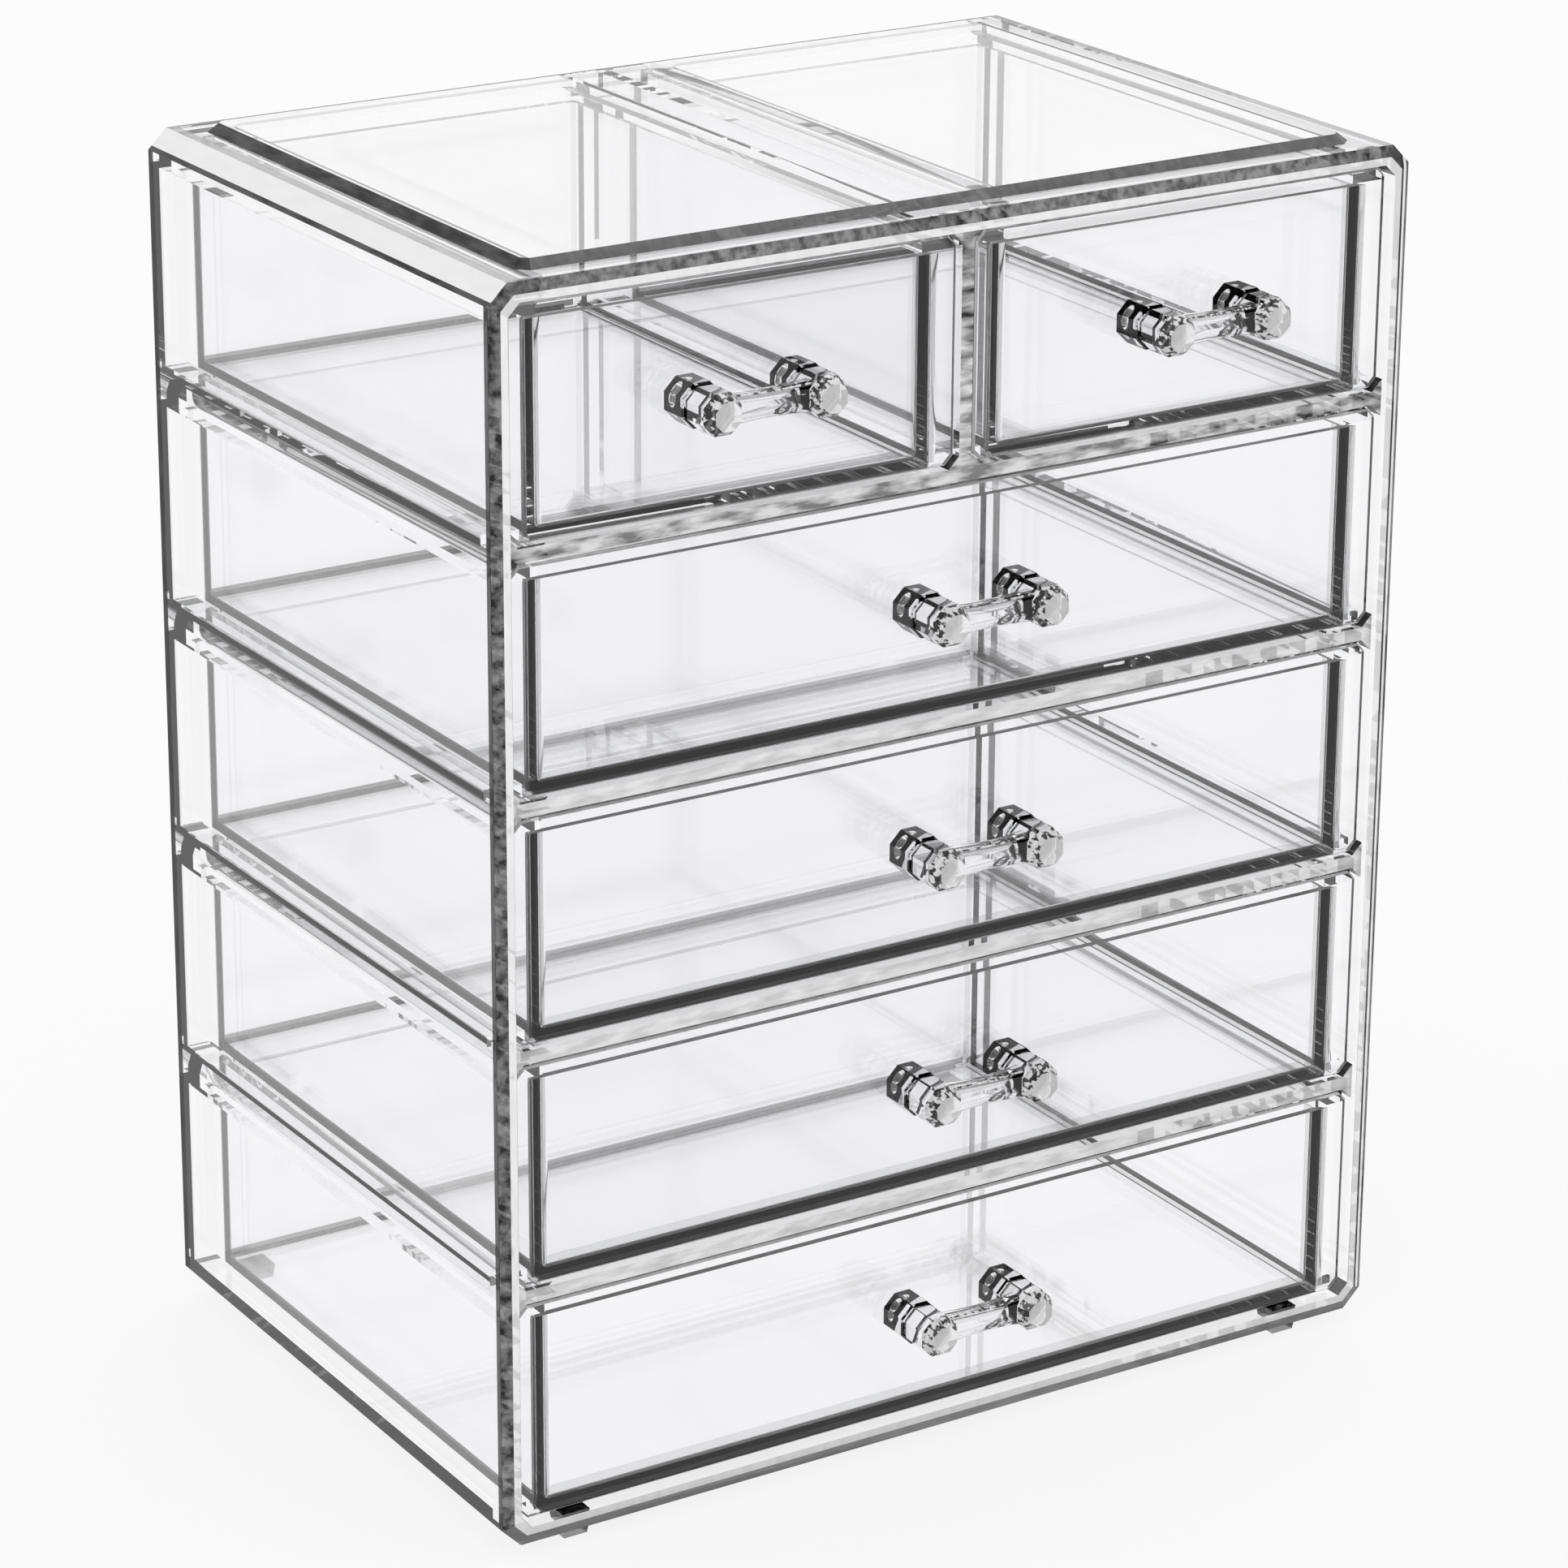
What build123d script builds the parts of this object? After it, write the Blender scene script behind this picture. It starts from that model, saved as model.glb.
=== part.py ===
import os
from math import atan, degrees, sqrt

from build123d import *

# Clear vanity organizer: one row of two small drawers over four rows of one wide drawer.
# Millimetres. X runs across the width, the fronts face -Y, Z is up and 0 is under the feet.

# Case
case_width = 241.0
case_depth = 162.0            # front rim to back face, without the handles
rows = 5
upper_rows = 2                # rows in the upper moulding, the rest are in the lower one
bay_height = 54.2             # clear height of one row
shelf = 3.2                   # shelf between two rows
skin = 4.4                    # sides, top and bottom
back_wall = 3.2
divider = 3.2                 # wall between the two small drawers
edge_cut = 4.7                # 45 degree cut along the four long edges
bevel_width = 2.6             # bevel round the front rim and the back face
bevel_depth = 1.0
shelf_setback = 1.8           # front rim to the front edges of shelves and divider
seam_groove = 0.35            # cut on each moulding's outer edge where the two are bonded
corner_cut = 2.8              # cut corners of each bay's mouth

# Raised panel on the top
plateau_height = 2.0
plateau_side_inset = 11.0
plateau_end_inset = 7.0
plateau_run = 2.4             # how far its sloping sides lean in
plateau_cut = 2.9
pocket_depth = 2.0            # hollow under the raised panel, one over each small drawer
pocket_margin = 0.8
pocket_cut = 2.0

# Rails above the drawer sides stop a pulled drawer tipping, guides beside them keep it straight
rail_height = 4.4
rail_cut = 2.6                # slope between a rail and the shelf above it
guide_height = 2.4
guide_gap = 0.6
guide_setback = 3.2           # front end of the guides, behind the drawer front

# Drawers
side_space = 6.7              # bay wall to drawer side
front_setback = 2.4           # front rim to the face of the drawer fronts
front_thickness = 2.6
front_gap = 0.9               # round each drawer front
front_bevel = 0.5
stop_gap = 0.4                # back of the drawer front to the front ends of the rails
drawer_wall = 2.2
drawer_floor = 2.2
floor_gap = 0.3               # under the drawer floor
rail_gap = 0.5                # drawer side to the rail above it
rear_gap = 1.2
front_step = 1.8              # how much thicker a drawer front is between the drawer's sides
inner_radius = 1.4            # rounded edges inside a drawer
outer_radius = 2.8            # rounded rear corners
sole_radius = 1.5             # rounded edges under a drawer
root_radius = 1.8             # drawer side to the back of its front

# Handles: two eight-sided posts and a bar
handle_reach = 18.2           # from the drawer front
post_spacing = 26.5
base_width = 10.0             # across the flats, at the drawer front
base_length = 7.6
neck_width = 8.4
neck_length = 1.0
head_width = 9.4
head_bevel_length = 2.6
head_bevel_width = 1.5
edge_break = 0.4
bar_height = 6.2
bar_depth = 5.0
bar_flare = 1.4               # how much taller and deeper the bar is where it meets a post
bar_radius = 2.0
bar_back_gap = 9.4            # finger room between drawer front and bar
spigot_radius = 2.0
spigot_length = 1.2
spigot_clearance = 0.05

# Feet
foot_height = 3.5
foot_width = 7.0
foot_lean = 8.0               # degrees that the sides of a foot slope in
foot_side_inset = 20.7        # to the centre of a foot
foot_end_inset = 7.3

# Levels and stations worked out from the sizes above
body_height = rows * bay_height + (rows - 1) * shelf + 2 * skin
body_bottom = foot_height
body_top = body_bottom + body_height
handle_overhang = handle_reach - front_setback
front_y = -(case_depth + handle_overhang) / 2 + handle_overhang
back_y = front_y + case_depth
face_y = front_y + front_setback
face_back_y = face_y + front_thickness
rail_front_y = face_back_y + stop_gap
bay_back_y = back_y - back_wall
tray_back_y = bay_back_y - rear_gap
wide_bay = case_width - 2 * skin
small_bay = (wide_bay - divider) / 2
small_bay_x = (small_bay + divider) / 2
rail_width = side_space + drawer_wall
guide_width = side_space - guide_gap


def bay_floor(row):
    return body_bottom + skin + (rows - row) * (bay_height + shelf)


seam_z = bay_floor(upper_rows)

# name, row, centre of the bay, width of the bay
drawers = [
    ("small_left", 1, -small_bay_x, small_bay),
    ("small_right", 1, small_bay_x, small_bay),
] + [(f"row_{row}", row, 0.0, wide_bay) for row in range(2, rows + 1)]


def cut_rectangle(width, height, cut):
    return chamfer(Rectangle(width, height).vertices(), cut)


def prism(outline, start_y, end_y):
    # an outline drawn across the width and height, run through the depth
    plane = Plane(origin=(0, end_y, 0), x_dir=(1, 0, 0), z_dir=(0, -1, 0))
    return extrude(plane * outline, amount=end_y - start_y)


def bevel_end(block, end):
    face = block.faces().sort_by(Axis.Y)[end]
    return chamfer(face.edges(), length=bevel_width, length2=bevel_depth, reference=face)


def outer_block():
    middle_z = (body_bottom + body_top) / 2
    block = prism(Pos(0, middle_z) * cut_rectangle(case_width, body_height, edge_cut), front_y, back_y)
    return bevel_end(bevel_end(block, 0), -1)


def raised_panel():
    width = case_width - 2 * plateau_side_inset
    depth = case_depth - 2 * plateau_end_inset
    outline = Pos(0, (front_y + back_y) / 2) * cut_rectangle(width, depth, plateau_cut)
    slope = degrees(atan(plateau_run / plateau_height))
    return extrude(Plane.XY.offset(body_top) * outline, amount=plateau_height, taper=slope)


def pocket(centre_x, bay_width):
    # hollow in the ceiling of a small bay, between its rails
    width = bay_width - 2 * (rail_width + rail_cut + pocket_margin)
    start_y = front_y + plateau_end_inset + plateau_run + pocket_margin
    end_y = back_y - plateau_end_inset - plateau_run - pocket_margin
    outline = Pos(centre_x, (start_y + end_y) / 2) * cut_rectangle(width, end_y - start_y, pocket_cut)
    return extrude(Plane.XY.offset(body_top - skin) * outline, amount=pocket_depth)


def mouth_recess():
    # the rim stands in front of the shelves and the divider
    middle_z = (body_bottom + body_top) / 2
    outline = cut_rectangle(wide_bay, body_height - 2 * skin, corner_cut)
    return prism(Pos(0, middle_z) * outline, front_y, front_y + shelf_setback)


def bay(row, centre_x, bay_width):
    # a mouth for the drawer front, then the room for the drawer under its two rails
    floor_z = bay_floor(row)
    mouth = Pos(centre_x, floor_z + bay_height / 2) * cut_rectangle(bay_width, bay_height, corner_cut)
    edge = bay_width / 2
    right = [
        (edge, 0),
        (edge, bay_height - rail_height),
        (edge - rail_width, bay_height - rail_height),
        (edge - rail_width, bay_height - rail_cut),
        (edge - rail_width - rail_cut, bay_height),
    ]
    left = [(-x, z) for x, z in reversed(right)]
    room = Pos(centre_x, floor_z) * Polygon(*right, *left, align=None)
    return prism(mouth, front_y, rail_front_y) + prism(room, rail_front_y, bay_back_y)


def guides(row, centre_x, bay_width):
    floor_z = bay_floor(row)
    start_y = face_back_y + guide_setback
    strip = Pos(0, floor_z + guide_height / 2) * Rectangle(guide_width, guide_height)
    offset = (bay_width - guide_width) / 2
    return [prism(Pos(centre_x + side * offset, 0) * strip, start_y, bay_back_y) for side in (-1, 1)]


def moulding(case, low_z, high_z):
    # the part of the case between two levels, with its outer edges broken at the seam
    span = Pos(0, (front_y + back_y) / 2, (low_z + high_z) / 2) * Box(
        2 * case_width, 2 * case_depth, high_z - low_z)
    return case & span


def seam_cutter():
    # a ring of vee section let into the outside at the seam
    section = Polygon((0, -seam_groove), (-seam_groove, 0), (0, seam_groove), align=None)
    half_x = case_width / 2
    sides = [
        prism(Pos(half_x, seam_z) * section, front_y, back_y),
        prism(Pos(-half_x, seam_z) * mirror(section, Plane.YZ), front_y, back_y),
    ]
    plane = Plane(origin=(-half_x, back_y, seam_z), x_dir=(0, 1, 0), z_dir=(1, 0, 0))
    return sides + [extrude(plane * section, amount=case_width)]


def case_mouldings():
    case = outer_block() + raised_panel() - mouth_recess()
    case -= [bay(row, centre_x, bay_width) for _, row, centre_x, bay_width in drawers]
    case -= [pocket(centre_x, bay_width) for _, row, centre_x, bay_width in drawers if row == 1]
    for _, row, centre_x, bay_width in drawers:
        case += guides(row, centre_x, bay_width)
    case -= seam_cutter()
    margin = plateau_height + foot_height
    lower = moulding(case, body_bottom - margin, seam_z)
    upper = moulding(case, seam_z, body_top + margin)
    return {"lower_case": lower, "upper_case": upper}


def drawer(row, centre_x, bay_width):
    floor_z = bay_floor(row)
    centre_z = floor_z + bay_height / 2
    panel_cut = corner_cut - front_gap * (2 - sqrt(2))
    outline = cut_rectangle(bay_width - 2 * front_gap, bay_height - 2 * front_gap, panel_cut)
    panel = prism(Pos(centre_x, centre_z) * outline, face_y, face_back_y)
    panel = chamfer(panel.faces().sort_by(Axis.Y)[0].edges(), front_bevel)

    width = bay_width - 2 * side_space
    low_z = floor_z + floor_gap
    high_z = floor_z + bay_height - rail_height - rail_gap
    length = tray_back_y - face_back_y
    low_end = (Align.CENTER, Align.MIN, Align.MIN)
    tub = Pos(centre_x, face_back_y, low_z) * Box(width, length, high_z - low_z, align=low_end)
    tub = fillet(tub.faces().sort_by(Axis.Y)[-1].edges().filter_by(Axis.Z), outer_radius)
    sole = tub.faces().sort_by(Axis.Z)[0]
    tub = fillet(sole.edges() - tub.faces().sort_by(Axis.Y)[0].edges(), sole_radius)
    shell = panel + tub
    for side in (-1, 1):
        root = Rectangle(root_radius, root_radius) - Pos(side * root_radius / 2, root_radius / 2) * Circle(root_radius)
        place = (centre_x + side * (width + root_radius) / 2, face_back_y + root_radius / 2, low_z + sole_radius)
        shell += Pos(*place) * extrude(root, amount=high_z - low_z - sole_radius)

    hollow_start = face_back_y + front_step
    hollow_length = tray_back_y - drawer_wall - hollow_start
    hollow_z = low_z + drawer_floor
    inside = Pos(centre_x, hollow_start, hollow_z) * Box(
        width - 2 * drawer_wall, hollow_length, bay_height, align=low_end)
    rounded = inside.edges().filter_by(Axis.Z) + inside.faces().sort_by(Axis.Z)[0].edges()
    shell -= fillet(rounded, inner_radius)

    socket = Cylinder(spigot_radius + spigot_clearance, spigot_length + spigot_clearance)
    for side in (-1, 1):
        place = (centre_x + side * post_spacing / 2, face_y + (spigot_length + spigot_clearance) / 2, centre_z)
        shell -= Pos(*place) * Rot(90, 0, 0) * socket
    return shell


def octagon(width):
    return RegularPolygon(width / 2, 8, major_radius=False, rotation=22.5)


def post(post_x, centre_z):
    # measured outward from the drawer front
    def length_of(outline, start, end):
        return prism(Pos(post_x, centre_z) * outline, face_y - end, face_y - start)

    base = length_of(octagon(base_width), 0, base_length)
    base = chamfer(base.faces().sort_by(Axis.Y)[0].edges(), edge_break)
    neck = length_of(octagon(neck_width), base_length, base_length + neck_length)
    head = length_of(octagon(head_width), base_length + neck_length, handle_reach)
    head = chamfer(head.faces().sort_by(Axis.Y)[-1].edges(), edge_break)
    end = head.faces().sort_by(Axis.Y)[0]
    head = chamfer(end.edges(), length=head_bevel_width, length2=head_bevel_length, reference=end)
    spigot = length_of(Circle(spigot_radius), -spigot_length, 0)
    return base + neck + head + spigot


def bar(centre_x, centre_z):
    # waisted: tallest where it meets the posts
    middle_y = face_y - bar_back_gap - (bar_depth + bar_flare) / 2
    half = post_spacing / 2

    def section(offset, extra):
        plane = Plane(origin=(centre_x + offset, middle_y, centre_z), x_dir=(0, 1, 0), z_dir=(1, 0, 0))
        return plane * RectangleRounded(bar_depth + extra, bar_height + extra, bar_radius)

    return loft([section(-half, bar_flare), section(0, 0), section(half, bar_flare)])


def handle(row, centre_x):
    centre_z = bay_floor(row) + bay_height / 2
    posts = [post(centre_x + side * post_spacing / 2, centre_z) for side in (-1, 1)]
    return posts[0] + posts[1] + bar(centre_x, centre_z)


def foot(centre_x, centre_y):
    top = Plane(origin=(centre_x, centre_y, foot_height), x_dir=(1, 0, 0), z_dir=(0, 0, -1))
    return extrude(top * Rectangle(foot_width, foot_width), amount=foot_height, taper=foot_lean)


def feet():
    across = case_width / 2 - foot_side_inset
    ends = {"front": front_y + foot_end_inset, "back": back_y - foot_end_inset}
    sides = {"left": -across, "right": across}
    return {f"foot_{end}_{side}": foot(x, y) for end, y in ends.items() for side, x in sides.items()}


nodes = case_mouldings()
for name, row, centre_x, bay_width in drawers:
    nodes[f"drawer_{name}"] = drawer(row, centre_x, bay_width)
    nodes[f"handle_{name}"] = handle(row, centre_x)
nodes.update(feet())

os.makedirs("parts", exist_ok=True)
for name, shape in nodes.items():
    export_step(shape, f"parts/{name}.step")
    print(name, len(shape.solids()), round(shape.volume))
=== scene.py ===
import math

import bpy
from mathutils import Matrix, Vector


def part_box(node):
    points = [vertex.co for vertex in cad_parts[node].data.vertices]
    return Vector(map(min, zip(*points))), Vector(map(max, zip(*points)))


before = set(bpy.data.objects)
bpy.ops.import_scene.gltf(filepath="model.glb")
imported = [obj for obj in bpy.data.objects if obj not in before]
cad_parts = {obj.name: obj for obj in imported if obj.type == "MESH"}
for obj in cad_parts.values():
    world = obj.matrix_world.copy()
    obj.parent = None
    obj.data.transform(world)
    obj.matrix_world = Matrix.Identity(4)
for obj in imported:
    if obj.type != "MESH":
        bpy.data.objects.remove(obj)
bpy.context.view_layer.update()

scene = bpy.context.scene


# ---- shader helpers: a wrapped socket adds Math nodes for the operators used on it

class Socket:
    def __init__(self, tree, out):
        self.tree, self.out = tree, out

    def math(self, operation, other, flipped=False):
        values = {0: other, 1: self} if flipped else {0: self, 1: other}
        return self.tree.add("ShaderNodeMath", {"operation": operation}, values)[0]

    def __add__(self, other):
        return self.math("ADD", other)

    def __radd__(self, other):
        return self.math("ADD", other, True)

    def __sub__(self, other):
        return self.math("SUBTRACT", other)

    def __rsub__(self, other):
        return self.math("SUBTRACT", other, True)

    def __mul__(self, other):
        return self.math("MULTIPLY", other)

    def __rmul__(self, other):
        return self.math("MULTIPLY", other, True)

    def above(self, limit):
        return self.math("GREATER_THAN", limit)

    def below(self, limit):
        return self.math("LESS_THAN", limit)

    def between(self, low, high):
        return self.above(low) * self.below(high)


class Outputs:
    def __init__(self, tree, node):
        self.tree, self.node = tree, node

    def __getitem__(self, key):
        return Socket(self.tree, self.node.outputs[key])


class Shader:
    def __init__(self, owner):
        owner.use_nodes = True
        self.nodes, self.links = owner.node_tree.nodes, owner.node_tree.links
        self.nodes.clear()

    # any node: its settings first, then the values or links of its sockets
    def add(self, kind, settings=None, values=None):
        node = self.nodes.new(kind)
        for name, value in (settings or {}).items():
            if name == "stops":
                ramp = node.color_ramp
                while len(ramp.elements) < len(value):
                    ramp.elements.new(0.5)
                for element, (place, grey) in zip(ramp.elements, value):
                    element.position = place
                    element.color = (grey, grey, grey, 1)
            else:
                setattr(node, name, value)
        for key, value in (values or {}).items():
            if isinstance(value, Socket):
                self.links.new(value.out, node.inputs[key])
            else:
                node.inputs[key].default_value = value
        return Outputs(self, node)


# ---- clear acrylic: glass on its faces, mottled grey painted on its cut and rounded edges as painted shade and painted highlights that stand in for their refractions

acrylic = {
    "tint": ((0.967, 0.967, 0.972, 1), (0.979, 0.979, 0.984, 1)),   # the least clear, the clearest
    "flowScale": 26.0,      # per metre, of the faint unevenness of moulded sheet
    "ior": 1.49,
    "edgeRoughness": 0.28,
    "edgeGloss": 0.15,
    # the streaks of noise below mottle the painted shade and painted highlights of the edges
    "grain": 420.0,         # per metre, across a streak
    "streak": 110.0,        # and along it
    "grainDetail": 3.0,
    "mottle": (0.36, 0.62),     # of the noise, where the grey starts and ends
    "shadow": 0.93,         # of the light that passes on to what is behind
    "absorb": 1.2,          # per metre
    "absorbTint": (0.80, 0.82, 0.86, 1),
}
flat = 0.99     # of a normal's part squared, for a face that is square to that axis
turned = 0.2    # of a normal's part, for a face that looks that way at all
reach = 0.0001  # how near a point is to a plane that it counts as on


class Surface:
    def __init__(self, name, look):
        self.material = bpy.data.materials.new(name)
        self.look, self.streaks = look, {}
        self.shader = Shader(self.material)
        self.place = self.shader.add("ShaderNodeTexCoord")["Object"]
        self.at = self.shader.add("ShaderNodeSeparateXYZ", values={0: self.place})
        normal = self.shader.add("ShaderNodeNewGeometry")["True Normal"]
        self.facing = self.shader.add("ShaderNodeSeparateXYZ", values={0: normal})
        self.along = {axis: self.facing[axis] * self.facing[axis] for axis in "XYZ"}
        self.paintedShading = self.cover = self.joined = None

    # from 0 to 1, in streaks that run along an axis
    def mottle(self, axis):
        if axis not in self.streaks:
            stretch = [self.look["streak"] if axis == other else self.look["grain"] for other in "XYZ"]
            grain = self.shader.add(
                "ShaderNodeVectorMath", {"operation": "MULTIPLY"}, {0: self.place, 1: stretch})[0]
            noise = self.shader.add("ShaderNodeTexNoise", values={
                "Vector": grain, "Scale": 1.0, "Detail": self.look["grainDetail"],
            })[0]
            low, high = self.look["mottle"]
            spread = (noise - low) * (1 / (high - low))
            self.streaks[axis] = spread.math("MAXIMUM", 0.0).math("MINIMUM", 1.0)
        return self.streaks[axis]

    # paints grey shade or highlight on what the mask picks out, over what was painted before; its cover hides
    # what is behind
    def grey(self, mask, paint):
        axis, dark, light, cover = paint
        paintedShading = self.mottle(axis) * (light - dark) + dark
        self.paintedShading = self.paintedShading + (paintedShading - self.paintedShading) * mask if self.paintedShading else paintedShading
        self.cover = self.cover + (cover - self.cover) * mask if self.cover else mask * cover

    # light passes straight through what the mask picks out, as where two mouldings are bonded
    def bond(self, mask):
        self.joined = mask

    def on(self, axis, level):
        return self.at[axis].between(level - reach, level + reach) * self.along[axis].above(flat)

    def finish(self):
        look, shader = self.look, self.shader
        flow = shader.add("ShaderNodeTexNoise", values={
            "Vector": self.place, "Scale": look["flowScale"], "Detail": 0.0,
        })[0]
        least, most = look["tint"]
        tint = shader.add("ShaderNodeMix", {"data_type": "RGBA"}, {0: flow, 6: least, 7: most})[2]
        surface = shader.add("ShaderNodeBsdfPrincipled", values={
            "Base Color": tint,
            "Roughness": 0.0,
            "IOR": look["ior"],
            "Transmission Weight": 1.0,
        })[0]
        # painted shade and painted highlights: a grey that stands in for the dark and bright refractions of
        # the edges
        edge = shader.add("ShaderNodeBsdfPrincipled", values={
            "Base Color": self.paintedShading,
            "Roughness": look["edgeRoughness"],
            "Specular IOR Level": look["edgeGloss"],
        })[0]
        surface = shader.add("ShaderNodeMixShader", values={0: self.cover, 1: surface, 2: edge})[0]
        if self.joined:
            straight = shader.add("ShaderNodeBsdfTransparent", values={"Color": (1, 1, 1, 1)})[0]
            surface = shader.add("ShaderNodeMixShader", values={0: self.joined, 1: surface, 2: straight})[0]
        passed = look["shadow"]
        lamps = shader.add("ShaderNodeBsdfTransparent", values={"Color": (passed, passed, passed, 1)})[0]
        isShadow = shader.add("ShaderNodeLightPath")["Is Shadow Ray"]
        mixed = shader.add("ShaderNodeMixShader", values={0: isShadow, 1: surface, 2: lamps})[0]
        inside = shader.add("ShaderNodeVolumeAbsorption", values={
            "Color": look["absorbTint"], "Density": look["absorb"],
        })[0]
        shader.add("ShaderNodeOutputMaterial", values={"Surface": mixed, "Volume": inside})
        return self.material


# A paint is painted shade or a painted highlight, a grey standing in for an edge's dark or bright refraction:
# the axis its streaks run along, its darkest and lightest grey, and its cover.
# The squares of a normal's parts tell the case's faces apart: 0.87 along y is the bevel round the rim,
# 0.59 along z a slope of the raised panel, 0.5 along z a cut at 45 degrees.
# The dark paints are painted shade and the near-white ones (rightRim, rimFace, cutFace) painted highlights;
# the right rim is painted differently from the left, and backLine only on the left side.
casePaintedShading = {
    "rim": ("Y", 0.02, 0.24, 0.9),
    "rimFacing": (0.80, 0.95),
    "rimWidth": 0.0026,         # of the bevel, across
    "rightRim": ("Z", 0.93, 1.0, 0.9),
    "rightRimLine": ("Z", 0.0, 0.02, 0.95),
    "rightRimLineWidth": 0.0008,
    "rightRimEdge": ("Z", 0.02, 0.22, 0.92),
    "rightRimEdgeWidth": 0.0009,
    "underRim": ("X", 0.17, 0.22, 0.94),
    "rimFace": ("Z", 0.92, 1.0, 0.8),
    "panelHeight": 0.002,       # of the raised panel
    "slope": ("Y", 0.15, 0.21, 0.94),
    "sideSlope": ("Y", 0.02, 0.09, 0.94),
    "slopeFacing": (0.55, 0.64),
    "rimSide": ("Z", 0.0, 0.04, 0.9),
    "rimSideDepth": 0.0026,
    "backLine": ("Z", 0.0, 0.03, 0.95),
    "backLineDepth": 0.0034,
    "corner": ("Y", 0.01, 0.14, 0.88),
    "cutFacing": (0.45, 0.55),
    "mouthDepth": 0.0054,       # front rim to the rails
    "skin": 0.0044,
    "longCut": 0.0047,          # across, of the cuts along the top's sides
    "cutFace": ("Y", 0.97, 1.0, 0.95),
    "cutLine": ("Y", 0.02, 0.10, 0.92),
    "cutLineWidth": 0.0009,
    "topBand": ("Y", 0.40, 0.50, 0.75),
    "topBandWidth": 0.0026,
    "shelf": ("X", 0.55, 0.86, 0.75),
    "firstShelf": ("X", 0.03, 0.80, 0.8),
    "shelfSetback": 0.0018,
    "shelfBelow": 0.0587,       # the top to the lowest point of the shelf under the small drawers
    "bondWall": 0.0045,
    "bondGuide": 0.0106,
    "guideStart": 0.0082,
    "bondBack": 0.0032,
}


def caseMaterial(look, edges):
    low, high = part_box("lower_case"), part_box("upper_case")
    frontY, seamZ, bodyTop = high[0][1], high[0][2], high[1][2] - edges["panelHeight"]
    made = Surface("caseAcrylic", look)
    # painted shade and painted highlights on the rim, slopes, cuts and shelves follow, standing in for their
    # refractions
    rim = made.along["Y"].between(*edges["rimFacing"])
    made.grey(rim, edges["rim"])
    rightRim = rim * made.facing["X"].above(turned)
    rimStart = high[1][0] - edges["rimWidth"]
    made.grey(rightRim, edges["rightRim"])
    made.grey(rightRim * made.at["X"].below(rimStart + edges["rightRimLineWidth"]), edges["rightRimLine"])
    made.grey(rightRim * made.at["X"].above(high[1][0] - edges["rightRimEdgeWidth"]), edges["rightRimEdge"])
    made.grey(rim * made.facing["Z"].below(-turned), edges["underRim"])
    made.grey(made.on("Y", frontY), edges["rimFace"])
    outside = made.at["X"].math("ABSOLUTE", 0.0).above(high[1][0] - reach)
    made.grey(outside * made.at["Y"].below(frontY + edges["rimSideDepth"]), edges["rimSide"])
    # painted shade line on the left side only
    backLine = outside * made.facing["X"].below(0.0) * made.at["Y"].above(high[1][1] - edges["backLineDepth"])
    made.grey(backLine, edges["backLine"])
    slope = made.along["Z"].between(*edges["slopeFacing"])
    made.grey(slope, edges["slope"])
    made.grey(slope * made.along["X"].above(turned), edges["sideSlope"])
    inMouth = made.at["Y"].below(frontY + edges["mouthDepth"]) * made.at["Z"].between(
        low[0][2] + edges["skin"], bodyTop - edges["skin"])
    made.grey(made.along["Z"].between(*edges["cutFacing"]) * inMouth, edges["corner"])
    across = made.at["X"].math("ABSOLUTE", 0.0)
    cutFoot = bodyTop - edges["longCut"]
    longCut = made.along["Z"].between(*edges["cutFacing"]) * made.along["Y"].below(reach)
    longCut = longCut * across.above(high[1][0] - edges["longCut"] - reach)
    longCut = longCut * made.at["Z"].above(cutFoot - reach)
    made.grey(longCut, edges["cutFace"])
    made.grey(longCut * made.at["Z"].below(cutFoot + edges["cutLineWidth"]), edges["cutLine"])
    topBand = across.above(high[1][0] - edges["longCut"] - edges["topBandWidth"])
    made.grey(made.on("Z", bodyTop) * topBand, edges["topBand"])
    shelves = made.on("Y", frontY + edges["shelfSetback"])
    made.grey(shelves, edges["shelf"])
    firstShelfFoot = bodyTop - edges["skin"] - edges["shelfBelow"]
    made.grey(shelves * made.at["Z"].above(firstShelfFoot), edges["firstShelf"])
    level = (made.at["Z"] - seamZ).math("ABSOLUTE", 0.0).below(reach)
    wall = across.above(high[1][0] - edges["bondWall"])
    guide = across.above(high[1][0] - edges["bondGuide"])
    guide = guide * made.at["Y"].above(frontY + edges["guideStart"])
    back = made.at["Y"].above(high[1][1] - edges["bondBack"])
    made.bond(level * made.along["Z"].above(flat) * wall.math("MAXIMUM", guide).math("MAXIMUM", back))
    return made.finish()


# Painted shade and painted highlights of a drawer, greys standing in for the refractions of its edges and
# walls: dark lines on the rounded edges, along the sole, at the back corners, on the front's outer walls, the
# ledge, the ends and under the floor, darker on some rows than others; lighter greys on the roots, the front
# bevel, the inner walls, the floor's front and the top. The right side's lines and rounded edges keep less of
# their cover than the left's.
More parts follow.
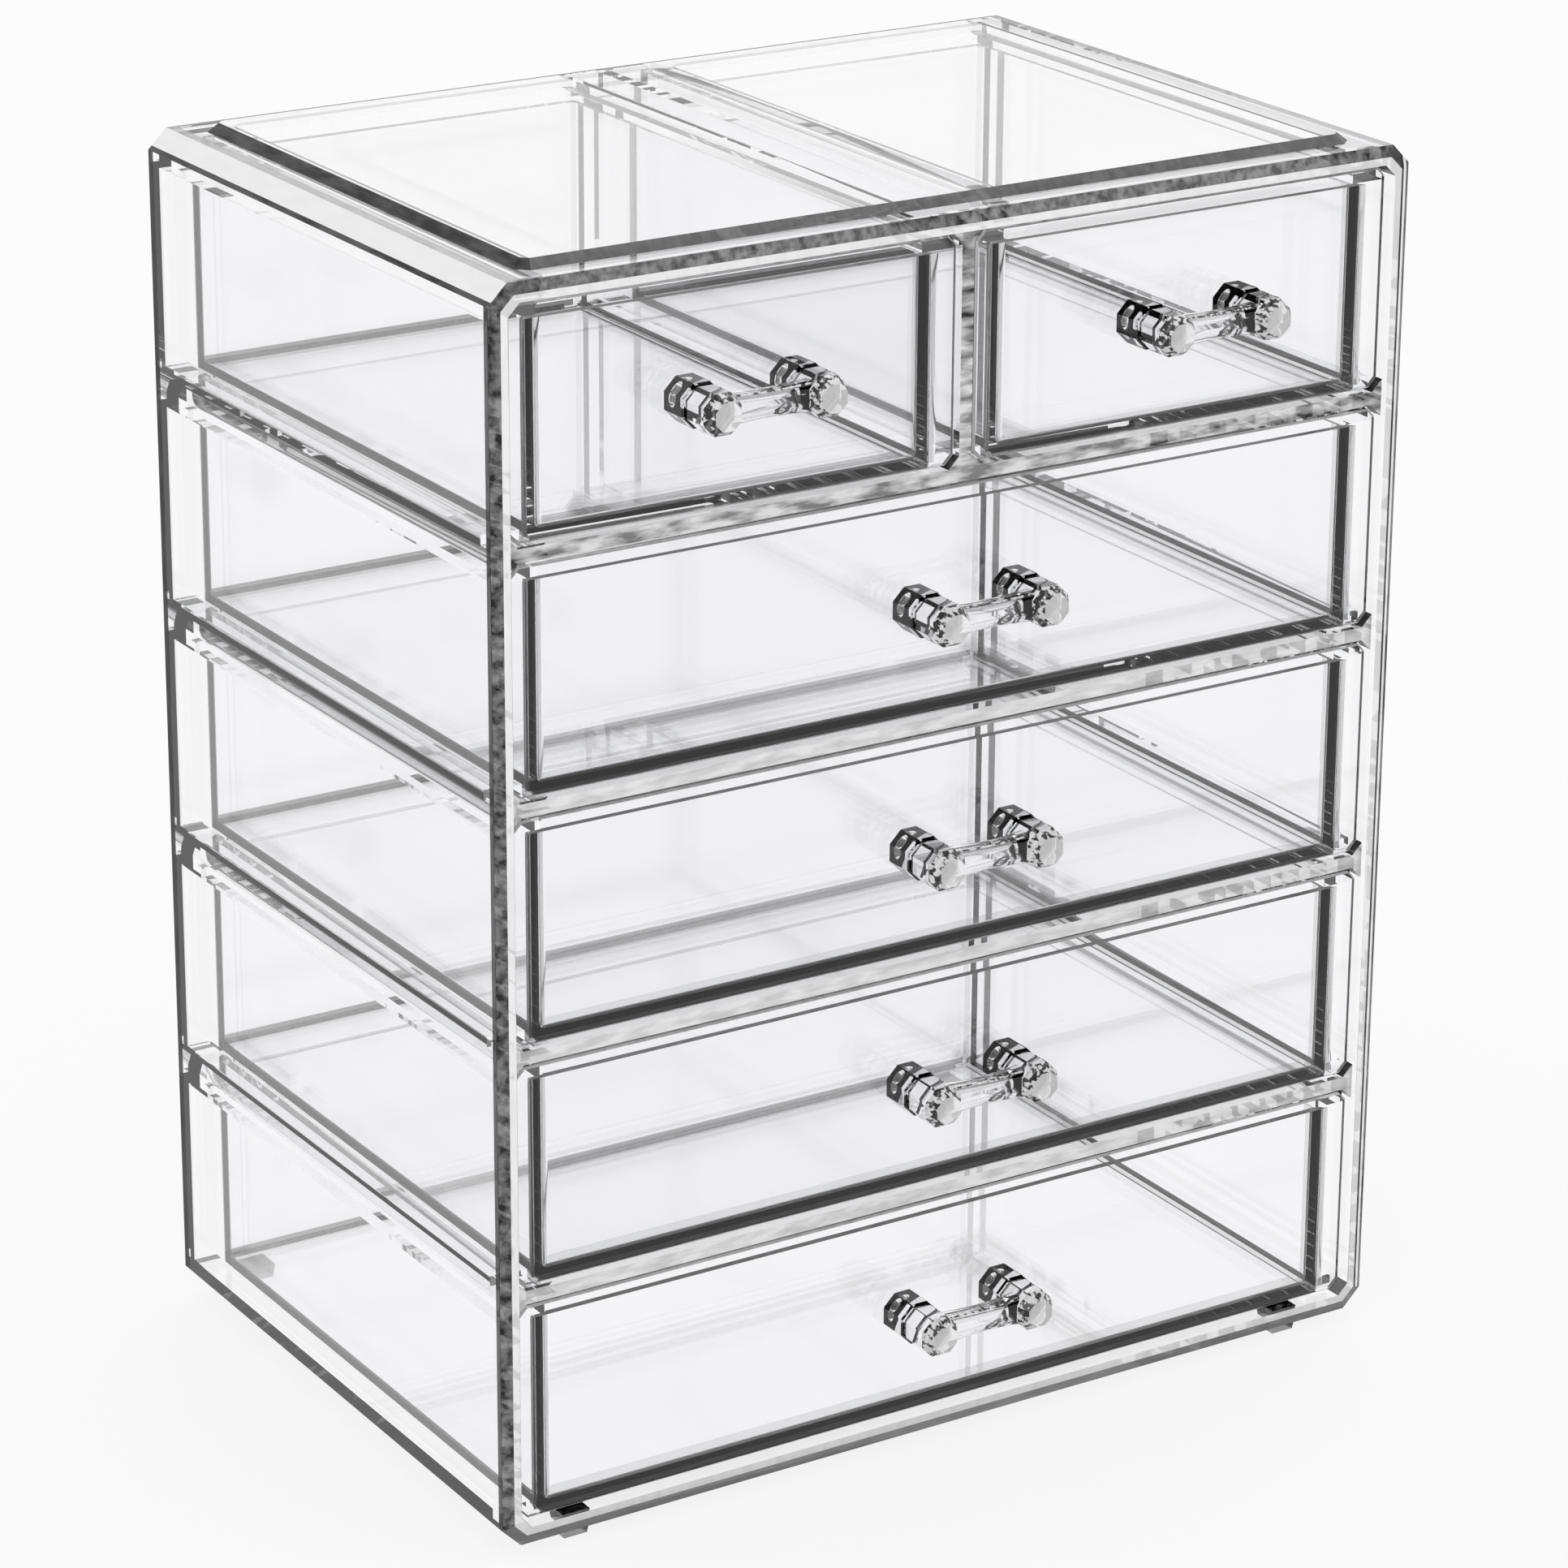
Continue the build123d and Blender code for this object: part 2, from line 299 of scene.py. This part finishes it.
drawerPaintedShading = {
    "square": 0.94,             # the largest part of a normal, squared, that counts as rounded or cut
    "rounded": ("Y", 0.005, 0.09, 0.93),
    "root": ("Z", 0.35, 0.70, 0.35),
    "rootEnd": 0.008,           # behind the front's face
    "floorRoot": ("X", 0.50, 0.65, 0.25),
    "frontBevel": ("Z", 0.70, 0.90, 0.6),
    "frontBevelDepth": 0.0006,
    "frontThick": 0.0026,
    "frontStep": 0.0044,
    "sideInset": 0.0058,        # end of the front to the drawer's side
    "wall": 0.0022,
    "outside": ("Z", 0.03, 0.22, 0.86),
    "outsideLength": 0.003,
    "inside": ("Z", 0.30, 0.80, 0.25),
    "insideLength": 0.003,
    "sole": ("Y", 0.004, 0.05, 0.95),
    "rightSide": 0.15,          # how much of their cover the lines of the right side have
    "rightRounded": 0.1,        # and its rounded edges
    "rightZone": 0.006,         # how far in from the right side those lie
    "soleHeight": (0.0015, 0.0037),
    "backCorner": ("Z", 0.002, 0.02, 0.96),
    "backCornerFrom": 0.0054,
    "backCornerTo": 0.0028,
    "backSole": ("X", 0.31, 0.36, 0.85),
    "lowestBackSole": ("X", 0.66, 0.70, 0.8),
    "floorFront": ("X", 0.50, 0.65, 0.25),
    "floorFrontLength": 0.006,
    "under": {
        "small_left": ("X", 0.10, 0.85, 0.8), "small_right": ("X", 0.02, 0.75, 0.85),
        "row_2": ("X", 0.004, 0.03, 0.93), "row_3": ("X", 0.04, 0.20, 0.88),
        "row_4": ("X", 0.10, 0.30, 0.85), "row_5": ("X", 0.12, 0.30, 0.85),
    },
    "underLength": 0.005,
    "top": 0.0490,              # height of the drawer's sides
    "ledge": ("X", 0.06, 0.16, 0.9),
    "topFace": ("X", 0.35, 0.55, 0.35),
    "ends": ("Z", 0.0, 0.03, 0.9),
}


def drawerMaterial(name, look, edges):
    low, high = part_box("drawer_" + name)
    made = Surface("drawerAcrylic_" + name, look)
    frontY, backY, floorZ = low[1], high[1], low[2]
    half = (high[0] - low[0]) / 2
    across = (made.at["X"] - (low[0] + half)).math("ABSOLUTE", 0.0)
    sideways = made.along["X"].above(flat)
    outer = sideways * (across - (half - edges["sideInset"])).math("ABSOLUTE", 0.0).below(reach)
    innerX = half - edges["sideInset"] - edges["wall"]
    inner = sideways * (across - innerX).math("ABSOLUTE", 0.0).below(reach)
    depth = made.at["Y"] - frontY
    height = made.at["Z"] - floorZ
    largest = made.along["X"].math("MAXIMUM", made.along["Y"]).math("MAXIMUM", made.along["Z"])
    rounded = largest.below(edges["square"])
    right = (made.at["X"] - (low[0] + half)).above(half - edges["sideInset"] - edges["rightZone"])
    # painted shade on the rounded and cut faces, fainter near the right side
    made.grey(rounded * (1 - right * (1 - edges["rightRounded"])), edges["rounded"])
    made.grey(rounded * depth.below(edges["rootEnd"]), edges["root"])
    made.grey(rounded * depth.below(edges["rootEnd"]) * made.along["X"].below(reach), edges["floorRoot"])
    made.grey(rounded * depth.below(edges["frontBevelDepth"]), edges["frontBevel"])
    # painted shade lines along the sole and the back corners, fainter on the right side
    lined = outer * (made.facing["X"].below(0.0) * (1 - edges["rightSide"]) + edges["rightSide"])
    made.grey(lined * height.between(*edges["soleHeight"]), edges["sole"])
    length = backY - frontY
    backCorner = depth.between(length - edges["backCornerFrom"], length - edges["backCornerTo"])
    made.grey(lined * backCorner, edges["backCorner"])
    made.grey(outer * depth.below(edges["frontThick"] + edges["outsideLength"]), edges["outside"])
    made.grey(inner * depth.below(edges["frontStep"] + edges["insideLength"]), edges["inside"])
    backSole = edges["lowestBackSole" if name == "row_5" else "backSole"]
    made.grey(made.on("Y", backY) * height.between(*edges["soleHeight"]), backSole)
    floorFront = depth.below(edges["frontStep"] + edges["floorFrontLength"])
    made.grey(made.on("Z", floorZ + edges["wall"]) * floorFront, edges["floorFront"])
    under = depth.below(edges["frontThick"] + edges["underLength"])
    made.grey(made.on("Z", floorZ) * under, edges["under"][name])
    topFace = made.on("Z", floorZ + edges["top"])
    made.grey(topFace, edges["topFace"])
    made.grey(topFace * depth.below(edges["frontStep"] + reach), edges["ledge"])
    made.grey(sideways * across.above(half - reach), edges["ends"])
    return made.finish()


# Painted shade and painted highlights of a handle: black and white patches on its bevels, a dark neck and a
# near-white end face, standing in for their refractions.
handlePaintedShading = {
    "bevel": ("Y", 0.05, 0.95, 0.85),
    "bevelFacing": (0.15, 0.40),
    "neck": ("Y", 0.0, 0.35, 0.9),
    "neckFrom": 0.0096,
    "neckTo": 0.0106,
    "end": ("Y", 0.94, 1.0, 0.6),
}


def handleMaterial(look, edges):
    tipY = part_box("handle_row_2")[0][1]
    made = Surface("handleAcrylic", look)
    made.grey(made.along["Y"].between(*edges["bevelFacing"]), edges["bevel"])
    made.grey(made.at["Y"].between(tipY + edges["neckFrom"], tipY + edges["neckTo"]), edges["neck"])
    made.grey(made.on("Y", tipY), edges["end"])
    return made.finish()


# dark grey painted shade on the foot's sides, standing in for their refraction
footPaintedShading = {"square": 0.94, "sides": ("X", 0.01, 0.06, 0.75)}


def footMaterial(look, edges):
    made = Surface("footAcrylic", look)
    made.grey(made.along["Z"].below(edges["square"]), edges["sides"])
    return made.finish()


# the handle's acrylic: a slightly darker tint, and finer, sharper streaks for its black and white painted
# patches
handleAcrylic = {
    **acrylic,
    "tint": ((0.95, 0.95, 0.955, 1), (0.965, 0.965, 0.97, 1)),
    "mottle": (0.48, 0.52),
    "grain": 800.0,
    "streak": 500.0,
}
finishes = {
    "case": caseMaterial(acrylic, casePaintedShading),
    "handle": handleMaterial(handleAcrylic, handlePaintedShading),
    "foot": footMaterial(acrylic, footPaintedShading),
}
for name in drawerPaintedShading["under"]:
    finishes["drawer_" + name] = drawerMaterial(name, acrylic, drawerPaintedShading)
for name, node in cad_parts.items():
    piece = next(kind for kind in finishes if kind in name)
    for slot in node.material_slots:
        slot.material = finishes[piece]
print("materials done")


# ---- studio

studio = {
    "floorSize": 14.0,
    "floorGrey": 0.9,
    "floorWhite": 0.86,     # how much of the floor's own white is seen beside its shading
    "ambient": 0.9,
    "zones": [(0.0, 1), (0.50, 1), (0.54, 0.02), (0.80, 0.02), (0.84, 1)],  # by height, of what edges mirror
}


def studioFloor(look):
    half = look["floorSize"] / 2
    mesh = bpy.data.meshes.new("studioFloor")
    corners = [(-half, -half, 0), (half, -half, 0), (half, half, 0), (-half, half, 0)]
    mesh.from_pydata(corners, [], [(0, 1, 2, 3)])
    floor = bpy.data.objects.new("studioFloor", mesh)
    scene.collection.objects.link(floor)
    material = bpy.data.materials.new("studioFloor")
    shader = Shader(material)
    grey = look["floorGrey"]
    matte = shader.add("ShaderNodeBsdfDiffuse", values={"Color": (grey, grey, grey, 1)})[0]
    white = shader.add("ShaderNodeEmission", values={"Color": (1, 1, 1, 1), "Strength": 1.0})[0]
    path = shader.add("ShaderNodeLightPath")
    seen = path["Is Glossy Ray"] + path["Is Transmission Ray"] + path["Is Camera Ray"] * look["floorWhite"]
    mixed = shader.add("ShaderNodeMixShader", values={0: seen, 1: matte, 2: white})[0]
    shader.add("ShaderNodeOutputMaterial", values={"Surface": mixed})
    mesh.materials.append(material)
    return floor


def studioWorld(look):
    world = bpy.data.worlds.new("studio")
    scene.world = world
    shader = Shader(world)
    direction = shader.add("ShaderNodeTexCoord")["Generated"]
    parts = shader.add("ShaderNodeSeparateXYZ", values={0: direction})
    zones = shader.add("ShaderNodeValToRGB", {"stops": look["zones"]}, {0: parts["Z"]})[0]
    path = shader.add("ShaderNodeLightPath")
    through = path["Is Glossy Ray"] + path["Is Transmission Ray"]
    plain = shader.add("ShaderNodeBackground", values={"Color": (1, 1, 1, 1), "Strength": look["ambient"]})[0]
    zoned = shader.add("ShaderNodeBackground", values={"Color": zones, "Strength": 1.0})[0]
    white = shader.add("ShaderNodeBackground", values={"Color": (1, 1, 1, 1), "Strength": 1.0})[0]
    lit = shader.add("ShaderNodeMixShader", values={0: through, 1: plain, 2: zoned})[0]
    final = shader.add("ShaderNodeMixShader", values={0: path["Is Camera Ray"], 1: lit, 2: white})[0]
    shader.add("ShaderNodeOutputWorld", values={"Surface": final})


studioFloor(studio)
studioWorld(studio)


# ---- camera at the photograph's angle

view = {
    "target": (-0.0171, 0.0169, 0.1775),
    "azimuth": -31.25,
    "elevation": 18.84,
    "distance": 1.270,
    "lens": 123.5,
    "shiftX": 0.059,
    "shiftY": -0.1,
    "sensor": 36,
}


def placeCamera(look):
    azimuth, elevation = math.radians(look["azimuth"]), math.radians(look["elevation"])
    forward = Vector((
        -math.sin(azimuth) * math.cos(elevation),
        math.cos(azimuth) * math.cos(elevation),
        -math.sin(elevation),
    ))
    data = bpy.data.cameras.new("camera")
    data.lens, data.sensor_width = look["lens"], look["sensor"]
    data.shift_x, data.shift_y = look["shiftX"], look["shiftY"]
    camera = bpy.data.objects.new("camera", data)
    camera.location = Vector(look["target"]) - forward * look["distance"]
    camera.rotation_euler = forward.to_track_quat("-Z", "Y").to_euler()
    scene.collection.objects.link(camera)
    scene.camera = camera


placeCamera(view)
scene.view_settings.view_transform = "Standard"
scene.cycles.caustics_refractive = scene.cycles.caustics_reflective = False
scene.cycles.max_bounces = 48
scene.cycles.transmission_bounces = 40
scene.cycles.glossy_bounces = 16    # light trapped in an edge ends there, which leaves it dark
scene.cycles.transparent_max_bounces = 64
print("studio done")
